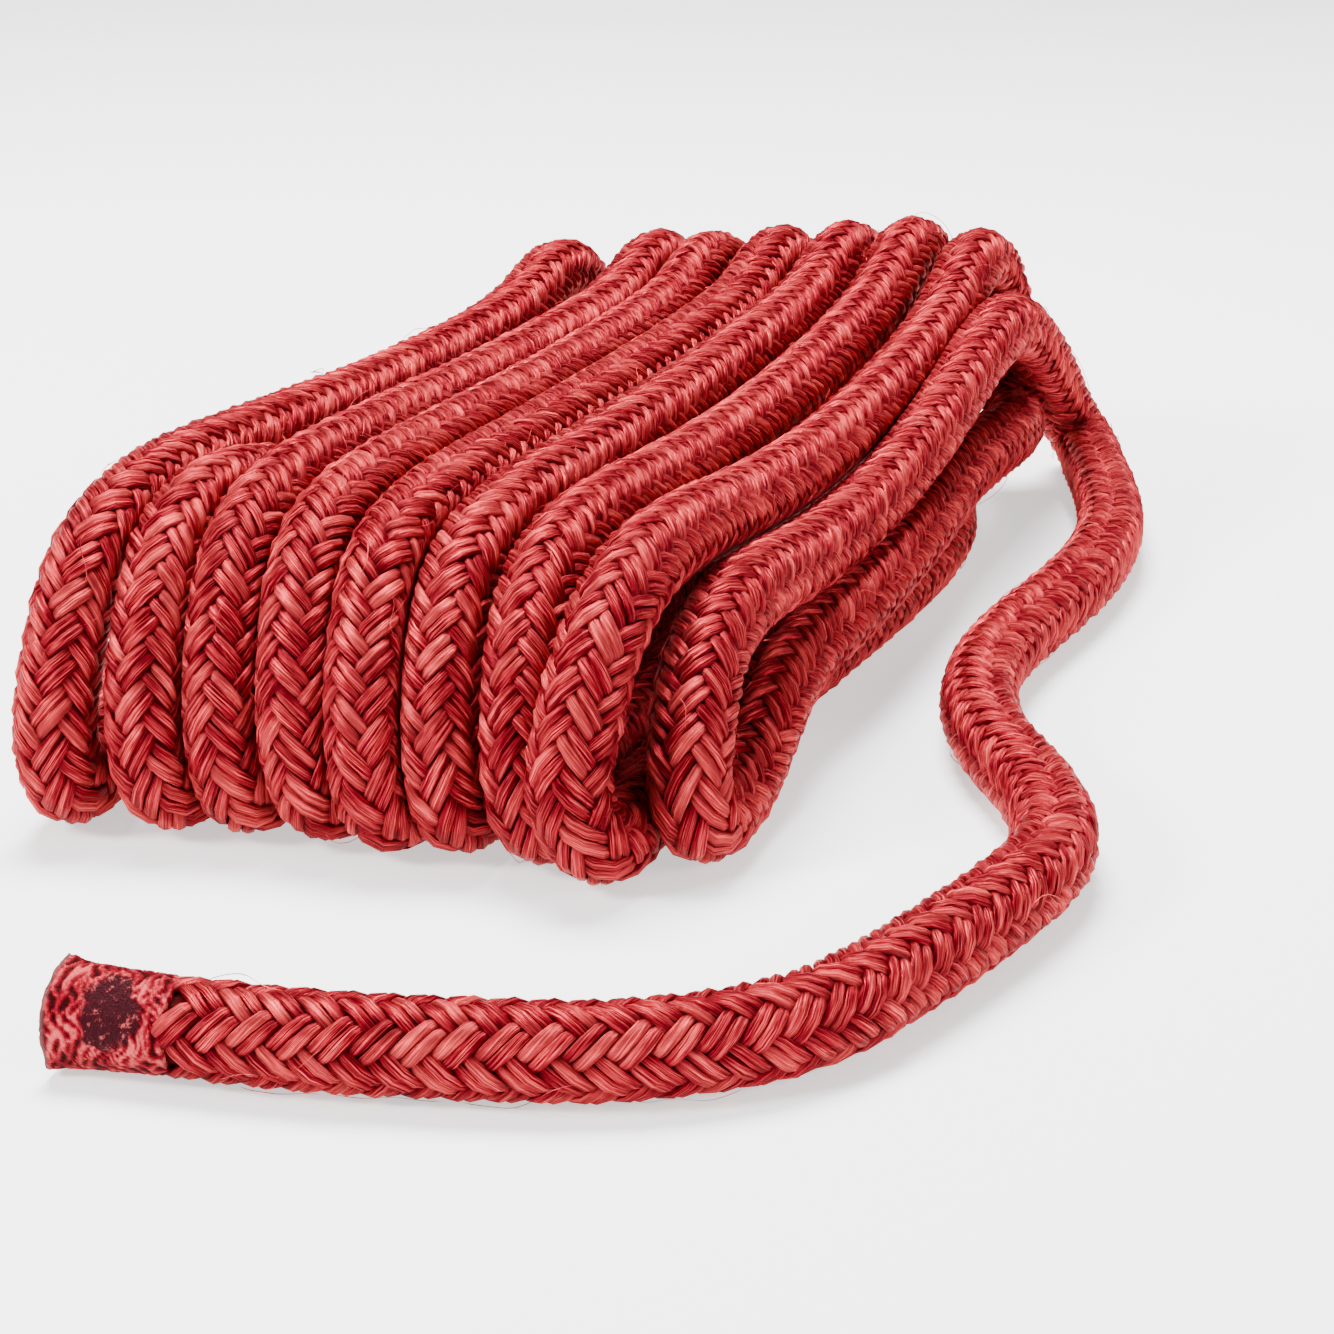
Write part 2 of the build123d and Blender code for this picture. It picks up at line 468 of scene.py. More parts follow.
@dataclass(frozen=True)
class Route:
    """The rope's whole route: standing end, nine turns, tail.

    Args:
        low: height of the rope's centre on the floor, in rope diameters.
        upper_steps: places of the control points along an upper run.
        lower_steps: places of the control points along a lower run.
        near_bend: the near bend seen from the side, as distances in rope diameters from its
            outermost point and shares of its height.
        far_bend: the same for the far bend.
        turns: the nine turns.
        descent: the stretch that comes down behind the hank, in metres.
        tail: the free end on the floor, as X and Y in metres.
        standing: the other end on the floor, as X and Y in metres, from the hank outwards.
    """

    low: float = 0.5
    upper_steps: tuple = (0.22, 0.45, 0.68, 0.88)
    lower_steps: tuple = (0.25, 0.5, 0.75)
    near_bend: tuple = (
        (1.9, 0.0), (0.35, -0.02), (0.05, 0.25),
        (0.55, 0.64), (1.35, 0.93), (2.9, 1.02),
    )
    far_bend: tuple = ((1.7, 1.02), (0.35, 0.88), (0.0, 0.5), (0.25, 0.05), (1.7, -0.01))
    turns: tuple[Turn, ...] = (
        Turn(-2.90, -2.90, -3.10, -8.70, 9.70, 3.45, 3.25, 0.25),
        Turn(-1.75, -2.10, -2.20, -8.50, 9.00, 3.45, 2.40, 1.15),
        Turn(-0.90, -1.35, -1.55, -8.30, 10.0, 3.45, 3.45, 0.15),
        Turn(0.05, -0.50, -0.65, -8.25, 9.95, 3.40, 3.50, 0.15),
        Turn(0.85, 0.40, 0.45, -8.30, 10.0, 3.35, 3.65, 0.15),
        Turn(1.60, 1.20, 1.55, -8.10, 9.95, 3.20, 3.80, 0.15),
        Turn(2.60, 2.20, 2.60, -8.10, 9.85, 3.20, 3.95, 0.45, 0.0, 0.12, UNDER_SEVENTH),
        Turn(3.05, 3.25, 3.70, -8.45, 9.45, 3.20, 3.90, 0.66, 0.35, 0.50, UNDER_EIGHTH),
        Turn(4.25, 3.98, 4.38, -7.45, 8.40, 2.45, 3.72, 0.70),
    )
    descent: tuple[Point, ...] = (
        (0.0565, 0.0895, 0.0410), (0.0580, 0.1105, 0.0300), (0.0597, 0.1290, 0.0140),
    )
    tail: tuple = (
        (0.0625, 0.1370), (0.0705, 0.1115), (0.0768, 0.0910), (0.0815, 0.0700),
        (0.0822, 0.0470), (0.0800, 0.0245), (0.0765, 0.0020), (0.0768, -0.0200),
        (0.0835, -0.0425), (0.0960, -0.0615), (0.1038, -0.0825), (0.0998, -0.1040),
        (0.0933, -0.1260), (0.0860, -0.1465), (0.0685, -0.1605), (0.0460, -0.1668),
        (0.0200, -0.1714), (-0.0010, -0.1719),
    )
    standing: tuple = (
        (-0.0400, -0.0860), (-0.0505, -0.0660), (-0.0555, -0.0440), (-0.0566, -0.0210),
        (-0.0560, 0.0020), (-0.0576, 0.0250), (-0.0568, 0.0480), (-0.0584, 0.0700),
    )

    def _turn_points(self, number: int) -> list[tuple]:
        """Works out one turn's control points.

        Args:
            number: the turn's place in the hank, from 0.

        Returns:
            Points in rope diameters, from the near bend's foot to the next turn's.
        """
        turn = self.turns[number]
        last = number == len(self.turns) - 1
        near_rise = turn.near_height - self.low
        far_rise = turn.far_height - self.low
        points = []
        for inward, share in self.near_bend:
            curl = turn.curl * max(0.0, 1.0 - 4.0 * share)
            x = turn.foot + (turn.top - turn.foot) * share + curl
            points.append((x, turn.front + inward, self.low + near_rise * share))
        start = turn.front + self.near_bend[-1][0]
        end = turn.back - self.far_bend[0][0]
        near_top = near_rise * self.near_bend[-1][1]
        far_top = far_rise * self.far_bend[1][1]
        for step in self.upper_steps:
            ease = step * step * (3.0 - 2.0 * step)
            height = near_top + (far_top - near_top) * ease
            sag = turn.sag * math.sin(math.pi * step)
            x = turn.top + (turn.far - turn.top) * ease
            points.append((x, start + (end - start) * step, self.low + height - sag))
        if last:
            return points
        for inward, share in self.far_bend[: 4 if turn.splay else 5]:
            lean = turn.splay * (1.0 - share)
            lift = 0.9 * lean
            y = turn.back - inward - 0.45 * lean
            points.append((turn.far + lean, y, self.low + share * far_rise + lift))
        if turn.beneath:
            return points + list(turn.beneath)
        following = self.turns[number + 1]
        next_foot = following.front + self.near_bend[0][0]
        for step in self.lower_steps:
            ease = step * step * (3.0 - 2.0 * step)
            x = turn.far + (following.foot - turn.far) * ease
            points.append((x, end + (next_foot - end) * step, self.low))
        return points

    def points(self) -> list[tuple]:
        """Joins the standing end, the turns and the tail.

        Returns:
            Every control point of the rope's centre line, in metres.
        """
        floor = [(x, y, ROPE_RADIUS) for x, y in reversed(self.standing)]
        coil = []
        for number in range(len(self.turns)):
            coil += self._turn_points(number)
        # The standing end's last point is the first turn's foot.
        coil = [tuple(part * ROPE_DIAMETER for part in point) for point in coil[1:]]
        tail = [(x, y, ROPE_RADIUS) for x, y in self.tail]
        return floor + coil + list(self.descent) + tail

    def line(self) -> np.ndarray:
        """Lays a spline of order 3 on the control points.

        Returns:
            Points along the spline, close together.
        """
        curve = bpy.data.curves.new("route", "CURVE")
        curve.dimensions = "3D"
        spline = curve.splines.new("NURBS")
        points = self.points()
        spline.points.add(len(points) - 1)
        for target, point in zip(spline.points, points):
            target.co = (*point, 1.0)
        spline.order_u = 3
        spline.use_endpoint_u = True
        spline.resolution_u = 24
        holder = bpy.data.objects.new("route", curve)
        bpy.context.scene.collection.objects.link(holder)
        bpy.context.view_layer.update()
        mesh = bpy.data.meshes.new_from_object(
            holder.evaluated_get(bpy.context.evaluated_depsgraph_get())
        )
        line = np.empty(len(mesh.vertices) * 3)
        mesh.vertices.foreach_get("co", line)
        bpy.data.objects.remove(holder)
        bpy.data.curves.remove(curve)
        bpy.data.meshes.remove(mesh)
        return line.reshape(-1, 3)


class CentreLine:
    """The rope's centre line in even steps, with a frame that doesn't twist and its contacts."""

    STEPS_PER_DIAMETER = 16
    REACH = 1.15 * ROPE_DIAMETER  # how near another stretch must pass to press on this one
    APART = 2.5 * ROPE_DIAMETER  # stretches nearer than this along the rope are one bend
    MOST_CONTACTS = 6
    SOFTNESS = 0.16  # share of the room up to a contact over which a yarn gives way
    SKIN = 0.00006  # gap left at a contact
    LEAST_GAP = 1e-7  # points nearer than this are one point

    def __init__(self, line: np.ndarray) -> None:
        """Resamples a line and frames it.

        Args:
            line: points along the rope's centre.
        """
        gaps = np.linalg.norm(np.diff(line, axis=0), axis=1)
        keep = np.concatenate([[True], gaps > self.LEAST_GAP])
        line = line[keep]
        run = np.concatenate([[0.0], np.cumsum(np.linalg.norm(np.diff(line, axis=0), axis=1))])
        self.length = float(run[-1])
        count = int(self.length / ROPE_DIAMETER * self.STEPS_PER_DIAMETER) + 1
        self.run = np.linspace(0.0, self.length, count)
        self.points = np.stack([np.interp(self.run, run, line[:, axis]) for axis in range(3)], 1)
        self._frame()
        self._find_contacts()

    def _frame(self) -> None:
        """Carries a normal along the line without twist."""
        tangents = np.gradient(self.points, self.run, axis=0)
        self.tangents = tangents / np.linalg.norm(tangents, axis=1)[:, None]
        normal = np.array([0.0, 0.0, 1.0])
        normals = []
        for tangent in self.tangents:
            normal = normal - tangent * float(normal @ tangent)
            normal = normal / np.linalg.norm(normal)
            normals.append(normal)
        self.normals = np.array(normals)
        self.sides = np.cross(self.tangents, self.normals)

    def _find_contacts(self) -> None:
        """Finds where other stretches of the rope press on each step."""
        tree = KDTree(len(self.points))
        for index, point in enumerate(self.points):
            tree.insert(point, index)
        tree.balance()
        count = len(self.points)
        self.push_way = np.zeros((count, self.MOST_CONTACTS, 3))
        self.push_room = np.full((count, self.MOST_CONTACTS), 1.0)
        apart = int(self.APART / self.run[1])
        for index, point in enumerate(self.points):
            found = tree.find_range(point, self.REACH)
            others = sorted(other for _, other, _ in found if abs(other - index) > apart)
            for slot, nearest in enumerate(self._nearest_of_each(others, point)):
                way = self.points[nearest] - point
                distance = float(np.linalg.norm(way))
                self.push_way[index, slot] = way / distance
                self.push_room[index, slot] = distance / 2 - self.SKIN

    def _nearest_of_each(self, others: list[int], point: np.ndarray) -> list[int]:
        """Picks the nearest step of each stretch among steps that pass a point.

        Args:
            others: step numbers in order.
            point: where they are measured from.

        Returns:
            One step number for each stretch, at most MOST_CONTACTS.
        """
        stretches = []
        for other in others:
            if stretches and other - stretches[-1][-1] <= 2:
                stretches[-1].append(other)
            else:
                stretches.append([other])
        chosen = []
        for stretch in stretches:
            gaps = np.linalg.norm(self.points[stretch] - point, axis=1)
            chosen.append(stretch[int(np.argmin(gaps))])
        return chosen[: self.MOST_CONTACTS]

    def place(self, run: np.ndarray, angle: np.ndarray, radius: np.ndarray) -> np.ndarray:
        """Places surface points on the rope and lets its contacts and the floor press them in.

        Args:
            run: distance along the rope.
            angle: round the rope.
            radius: out from its centre.

        Returns:
            Points in metres.
        """
        at = np.clip(run, 0.0, self.length) / self.run[1]
        low = np.minimum(at.astype(int), len(self.run) - 2)
        share = (at - low)[:, None]

        def blended(values: np.ndarray) -> np.ndarray:
            """Reads values between two steps."""
            return values[low] * (1.0 - share) + values[low + 1] * share

        overrun = (run - np.clip(run, 0.0, self.length))[:, None]
        centre = blended(self.points) + blended(self.tangents) * overrun
        outward = blended(self.normals) * np.cos(angle)[:, None]
        outward += blended(self.sides) * np.sin(angle)[:, None]
        offset = outward * radius[:, None]
        step = np.minimum(np.rint(at).astype(int), len(self.run) - 1)
        for slot in range(self.MOST_CONTACTS):
            way = self.push_way[step, slot]
            offset += way * self._give(offset, way, self.push_room[step, slot])[:, None]
        down = np.array([0.0, 0.0, -1.0])
        offset += down * self._give(offset, down, centre[:, 2])[:, None]
        return centre + offset

    def _give(self, offset: np.ndarray, way: np.ndarray, room: np.ndarray) -> np.ndarray:
        """Works out how far points give way to something that presses on the rope.

        Args:
            offset: the points, from the rope's centre.
            way: direction in which it lies.
            room: how far away it is.

        Returns:
            The change along that direction, never above 0.
        """
        reach = (offset * way).sum(1)
        soft = room * self.SOFTNESS
        start = room - soft
        over = np.maximum(reach - start, 0.0)
        held = start + soft * (1.0 - np.exp(-over / np.maximum(soft, 1e-9)))
        return np.where(over > 0.0, held - reach, 0.0)


# --- Meshes ---


def ring_angles(count: int) -> np.ndarray:
    """Gives the angles of evenly spaced points round a ring, as (lump, station, ring point)."""
    return 2 * math.pi * (np.arange(count) / count)[None, None, :]


@dataclass
class Shell:
    """Many closed lumps of the same make, each a row of rings between two end points.

    Args:
        run: distance along the rope, (lump, station, ring point).
        angle: round the rope.
        radius: out from the rope's centre.
        marks: attributes of the points, by name, each of the same shape.
    """

    run: np.ndarray
    angle: np.ndarray
    radius: np.ndarray
    marks: dict = field(default_factory=dict)

    def _faces(self) -> tuple[np.ndarray, np.ndarray]:
        """Works out the faces of one lump.

        Returns:
            Quads between its rings, and triangles from its end rings to its end points.
        """
        stations, ring = self.run.shape[1:]
        step = np.arange(ring)
        after = (step + 1) % ring
        base = 1 + np.arange(stations - 3)[:, None] * ring
        corners = [base + step, base + after, base + ring + after, base + ring + step]
        quads = np.stack(corners, 2).reshape(-1, 4)
        final = 1 + (stations - 3) * ring
        first = np.stack([np.zeros(ring, int), 1 + after, 1 + step], 1)
        last = np.stack([np.full(ring, final + ring), final + step, final + after], 1)
        return quads, np.concatenate([first, last])

    def build(self, name: str, line: CentreLine) -> bpy.types.Object:
        """Makes the mesh.

        Args:
            name: the piece's name.
            line: the centre line that the shell is laid round.

        Returns:
            The object.
        """
        lumps, stations, ring = self.run.shape
        size = (stations - 2) * ring + 2

        def flat(values: np.ndarray) -> np.ndarray:
            """Lists values point by point, with one for each end of a lump."""
            inner = values[:, 1:-1].reshape(lumps, -1)
            return np.concatenate([values[:, 0, :1], inner, values[:, -1, :1]], 1).ravel()

        points = line.place(flat(self.run), flat(self.angle), flat(self.radius))
        quads, triangles = self._faces()
        shift = np.arange(lumps)[:, None, None] * size
        quads = (quads[None] + shift).reshape(-1, 4)
        triangles = (triangles[None] + shift).reshape(-1, 3)
        mesh = bpy.data.meshes.new(name)
        mesh.vertices.add(len(points))
        mesh.vertices.foreach_set("co", points.astype(np.float32).ravel())
        corners = np.concatenate([quads.ravel(), triangles.ravel()]).astype(np.int32)
        mesh.loops.add(len(corners))
        mesh.loops.foreach_set("vertex_index", corners)
        triangle_starts = len(quads) * 4 + np.arange(len(triangles)) * 3
        starts = np.concatenate([np.arange(len(quads)) * 4, triangle_starts]).astype(np.int32)
        mesh.polygons.add(len(starts))
        mesh.polygons.foreach_set("loop_start", starts)
        mesh.update(calc_edges=True)
        mesh.shade_smooth()
        for mark, values in self.marks.items():
            attribute = mesh.attributes.new(mark, "FLOAT", "POINT")
            attribute.data.foreach_set("value", flat(values).astype(np.float32))
        mesh.validate()
        made = bpy.data.objects.new(name, mesh)
        bpy.context.scene.collection.objects.link(made)
        return made


@dataclass(frozen=True)
class Braid:
    """The rope's cover: sixteen strands of two yarns, eight each way, over two and under two.

    Args:
        pitch: length of one row of the braid along the rope.
        columns: columns of floats round the rope, half of them each way.
        middle: radius at which the strands change places.
        rise: how far a strand lies above or below it.
        yarn_width: half the width of a yarn.
        yarn_thickness: half its thickness.
        yarn_gap: distance between the middles of a strand's two yarns.
        half_float: half the length of a float, in pitches.
        stations: places along a float, as shares of its half length.
        ring_points: points round a yarn.
        twist_wander: how far the braid turns one way and the other, in radians.
    """

    pitch: float = 0.385 * ROPE_DIAMETER
    columns: int = 8
    middle: float = 0.388 * ROPE_DIAMETER
    rise: float = 0.055 * ROPE_DIAMETER
    yarn_width: float = 0.0745 * ROPE_DIAMETER
    yarn_thickness: float = 0.058 * ROPE_DIAMETER
    yarn_gap: float = 0.134 * ROPE_DIAMETER
    half_float: float = 0.84
    stations: tuple = (-1.0, -0.93, -0.7, -0.38, 0.0, 0.38, 0.7, 0.93, 1.0)
    ring_points: int = 7
    twist_wander: float = 0.22

    def floats(self, start: float, end: float) -> tuple[np.ndarray, np.ndarray, np.ndarray]:
        """Places the floats, the short lengths of strand that lie on top.

        Args:
            start: where they begin along the rope.
            end: where they end.

        Returns:
            For each float: its middle along the rope, its angle and its hand.
        """
        rows = np.arange(int(start / self.pitch) - 10, int(end / self.pitch) + 10)
        run, angle, hand = [], [], []
        for column in range(self.columns // 2):
            for side in Hand:
                crossing = 4 * column + side.first_crossing
                shift = side.value * crossing / 2
                run.append((rows + shift % 1.0) * self.pitch)
                angle.append(np.full(len(rows), 2 * math.pi * crossing / STRANDS))
                hand.append(np.full(len(rows), side.value))
        run, angle, hand = (np.concatenate(values) for values in (run, angle, hand))
        inside = (run >= start) & (run < end)
        return run[inside], angle[inside], hand[inside].astype(float)

    def shell(self, start: float, end: float, chance: np.random.Generator) -> Shell:
        """Builds the yarns of a stretch of cover.

        Args:
            start: where it begins along the rope.
            end: where it ends.
            chance: source of small unevenness.

        Returns:
            A shell of yarn floats.
        """
        run, angle, hand = self.floats(start, end)
        run = np.repeat(run, 2)[:, None, None]
        angle = np.repeat(angle, 2)[:, None, None]
        hand = np.repeat(hand, 2)[:, None, None]
        lumps = len(run)
        side = np.tile([-0.5, 0.5], lumps // 2)[:, None, None]
        station = np.array(self.stations)[None, :, None]
        around = ring_angles(self.ring_points)
        slack = chance.normal(0.0, 1.0, (3, lumps, 1, 1))
        fullness = 1.0 + 0.05 * slack[0].clip(-2, 2)
        lift = 1.0 + 0.10 * slack[1].clip(-2, 2)
        # Full in the middle, closing to a point where the yarn is out of sight.
        taper = (1.0 - np.abs(station) ** 5) ** 0.5
        forward = station * self.half_float * self.pitch
        wave = np.cos(math.pi * forward / self.pitch)
        level = np.sign(wave) * np.abs(wave) ** 0.8
        across = side * self.yarn_gap + self.yarn_width * fullness * taper * np.sin(around)
        up = self.yarn_thickness * fullness * taper * np.cos(around)
        slope = math.tan(2 * math.pi / STRANDS / (self.pitch / 2) * self.middle)
        lean = math.atan(slope)
        yarn_run = run + forward - hand * across * math.sin(lean)
        round_shift = hand * forward * slope + across * math.cos(lean)
        radius = self.middle + self.rise * level * lift + up
        turned = angle + round_shift / (self.middle + self.rise) + self._wander(run)
        tone = chance.random((lumps, 1, 1)).clip(0.05, 1.0)
        every = np.zeros_like(radius)
        top = self.middle + self.rise + self.yarn_thickness
        floor = self.middle - self.rise
        marks = {
            "across": np.sin(around) * 0.5 + 0.5 + every,
            "along": forward / self.pitch + every,
            "tone": tone + every,
            "height": ((radius - floor) / (top - floor)).clip(0.0, 1.0),
        }
        return Shell(yarn_run + every, turned + every, radius, marks)

    def _wander(self, run: np.ndarray) -> np.ndarray:
        """Gives the slow, uneven twist that a handled rope takes."""
        along = run / ROPE_DIAMETER
        return self.twist_wander * (np.sin(along / 5.3) + 0.6 * np.sin(along / 2.9 + 1.0))


@dataclass(frozen=True)
class InnerBody:
    """The rope's core and the buried part of its cover, in painted shade, seen only between yarns.

    Args:
        radius: of the body.
        ring_points: points round it.
        step: distance between rings.
    """

    radius: float = 0.37 * ROPE_DIAMETER
    ring_points: int = 16
    step: float = 0.22 * ROPE_DIAMETER

    def shell(self, length: float) -> Shell:
        """Builds the body as one closed lump.

        Args:
            length: of the rope.

        Returns:
            A shell with one lump.
        """
        stations = int(length / self.step)
        run = np.linspace(0.0, length, stations + 2)
        run = np.concatenate([run[:1], run, run[-1:]])[None, :, None]
        around = ring_angles(self.ring_points)
        # Low ridges under the rows of the braid.
        ridges = 0.012 * ROPE_DIAMETER * np.cos(8 * around) * np.cos(run / ROPE_DIAMETER * 8.2)
        radius = self.radius + ridges
        radius[:, 0] = 0.0
        radius[:, -1] = 0.0
        every = np.zeros_like(radius)
        marks = {
            "across": np.cos(8 * around) * 0.5 + 0.5 + every,
            "along": run / ROPE_DIAMETER + every,
            "tone": np.full_like(radius, 0.5),
            # Height 0 gives the whole body the painted shade colour.
            "height": np.zeros_like(radius),
        }
        return Shell(run + every, around + every, radius, marks)


@dataclass(frozen=True)
class SealedEnd:
    """A cut end whose filaments have been melted together, a little wider than the rope.

    Args:
        length: along the rope.
        rings: rings along it.
        ring_points: points round it.
        facing: the way that its melted patch faces.
    """

    length: float = 0.0150
    rings: int = 72
    ring_points: int = 84
    facing: Point = (0.30, -0.78, 0.55)

    def shell(self, line: CentreLine, at_end: bool) -> Shell:
        """Builds the end as one closed lump.

        Args:
            line: the rope's centre line.
            at_end: whether it's the end of the line, or its start.

        Returns:
            A shell with one lump.
        """
        # Each ring's place, from 0 at the braid to 1 at the cut, and its share of the radius.
        rings = [(0.0, 0.0), (0.0, 0.6)]
        rings += [(place, 1.0) for place in np.linspace(0.0, 1.0, self.rings)]
        rings += [(1.0, 0.955), (0.972, 0.90), (0.965, 0.45), (0.96, 0.0)]
        if not at_end:
            rings.reverse()
        place = np.array([ring[0] for ring in rings])[None, :, None]
        share = np.array([ring[1] for ring in rings])[None, :, None]
        around = ring_angles(self.ring_points)
        step = -1 if at_end else 0
        facing = np.array(self.facing)
        front = math.atan2(float(facing @ line.sides[step]), float(facing @ line.normals[step]))
        turned = around - front
        fold = self._folds(place, turned)
        melt = self._patch(place, turned)
        neck = np.clip(place / 0.10, 0.0, 1.0)
        outline = 0.86 + 0.10 * neck * neck * (3.0 - 2.0 * neck) + 0.085 * place**1.5
        uneven = 0.016 * np.cos(2 * turned + 0.6) + 0.014 * np.cos(3 * turned + 2.0 + 2.0 * place)
        relief = 0.085 * (fold - 0.5) * (1.0 - 0.85 * melt.clip(0.0, 1.0)) - 0.035 * melt
        corners = self._corner(place, turned, 1.25) + self._corner(place, turned, -1.35)
        radius = ROPE_RADIUS * share * (outline + uneven + relief + 0.10 * corners)
        cut = self.length * place
        run = line.length - self.length + cut if at_end else self.length - cut
        every = np.zeros_like(radius)
        # The cut face is melted right across, inside a scorched rim.
        face = ((share < 0.93) & (place > 0.5)).astype(float)
        rim = np.clip((place - 0.955) / 0.03, 0.0, 1.0) * (1.0 - face)
        melt = np.maximum(melt, 0.62 * face)
        fold = fold * (1.0 - face) + 0.45 * face
        marks = {"melt": melt + every, "height": fold + every, "rim": rim + every}
        return Shell(run + every, around + every, radius, marks)

    @staticmethod
    def _folds(place: np.ndarray, turned: np.ndarray) -> np.ndarray:
        """Gives the height of the crushed yarns, which run round the rope.

        Args:
            place: from 0 at the braid to 1 at the cut.
            turned: angle from the side that the patch faces.

        Returns:
            The height, from 0 to 1.
        """
        warp = 0.030 * np.sin(5 * turned + 1.3 + 6 * place)
        warp = warp + 0.022 * np.sin(11 * turned + 9 * place)
        bent = place + warp
        lean = 0.60 * np.sin(3 * turned + 4 * place) + 0.30 * np.sin(8 * turned + 1.0)
        other = 0.55 * np.sin(4 * turned + 0.7) + 0.30 * np.sin(9 * turned - 5 * place)
        first = np.sin(2 * math.pi * (10.4 * bent + lean))
        second = np.sin(2 * math.pi * (7.7 * bent - other))
        blocks = np.sin(5 * turned + 9 * place) * np.sin(11 * place + 2.0)
        crushed = np.maximum(first, second) * 0.5 + 0.5
        return (0.62 * crushed + 0.38 * (blocks * 0.5 + 0.5)).clip(0.0, 1.0)

    @staticmethod
    def _patch(place: np.ndarray, turned: np.ndarray) -> np.ndarray:
        """Gives how far the yarn is melted.

        Args:
            place: from 0 at the braid to 1 at the cut.
            turned: angle from the side that the patch faces.

        Returns:
            A value that is above 0.5 in the patch.
        """
        round_it = np.arctan2(np.sin(turned), np.cos(turned))
        edge = 1.0 + 0.18 * np.sin(3 * np.arctan2(place - 0.44, round_it * 0.3) + 1.0)
        reach = ((place - 0.44) / 0.25) ** 2 + (round_it / 0.80) ** 2
        return np.clip(1.0 - 0.5 * reach / edge, 0.0, 1.0)

    @staticmethod
    def _corner(place: np.ndarray, turned: np.ndarray, where: float) -> np.ndarray:
        """Gives the height of a drawn-out corner of the cut face.

        Args:
            place: from 0 at the braid to 1 at the cut.
            turned: angle from the side that the patch faces.
            where: the corner's own angle.

        Returns:
            The height, from 0 to 1.
        """
        away = np.arctan2(np.sin(turned - where), np.cos(turned - where))
        return np.exp(-((away / 0.22) ** 2)) * np.exp(-(((1.0 - place) / 0.13) ** 2))


@dataclass(frozen=True)
class Fuzz:
    """Broken filaments that stand off the cover in low loops.

    Args:
        count: how many there are.
        thickness: half a filament's thickness.
        stations: places along a filament.
        ring_points: points round it.
    """

    count: int = 420
    thickness: float = 0.000055
    stations: int = 11
    ring_points: int = 4

    def shell(self, start: float, end: float, chance: np.random.Generator) -> Shell:
        """Builds the filaments.

        Args:
            start: where they begin along the rope.
            end: where they end.
            chance: source of their places and shapes.

        Returns:
            A shell of thin lumps.
        """
        shape = (self.count, 1, 1)
        share = np.linspace(0.0, 1.0, self.stations)[None, :, None]
        around = ring_angles(self.ring_points)
        reach = ROPE_DIAMETER * chance.uniform(0.25, 1.3, shape) * chance.choice([-1.0, 1.0], shape)
        sweep = chance.uniform(-1.2, 1.2, shape)
        phase = chance.uniform(0.0, 2 * math.pi, shape)
        stand = ROPE_DIAMETER * chance.uniform(0.02, 0.11, shape)
        run = chance.uniform(start, end, shape) + reach * share
        angle = chance.uniform(0.0, 2 * math.pi, shape) + sweep * share
        angle = angle + 0.16 * np.sin(7.0 * share + phase)
        middle = 0.485 * ROPE_DIAMETER + stand * np.sin(math.pi * share) ** 0.7
        # Runs that go backwards turn their rings the other way, so that faces still point out.
        turn = np.sign(reach) * np.sin(around) * self.thickness
        radius = middle + np.cos(around) * self.thickness
        every = np.zeros_like(radius)
        marks = {
            "across": np.full_like(radius, 0.5),
            "along": share + every,
            "tone": chance.uniform(0.4, 1.0, shape) + every,
            # Height 1 gives the filaments the yarn's full painted highlight.
            "height": np.full_like(radius, 1.0),
        }
        turned = angle + turn / middle
        return Shell(run.clip(start, end) + every, turned + every, radius, marks)


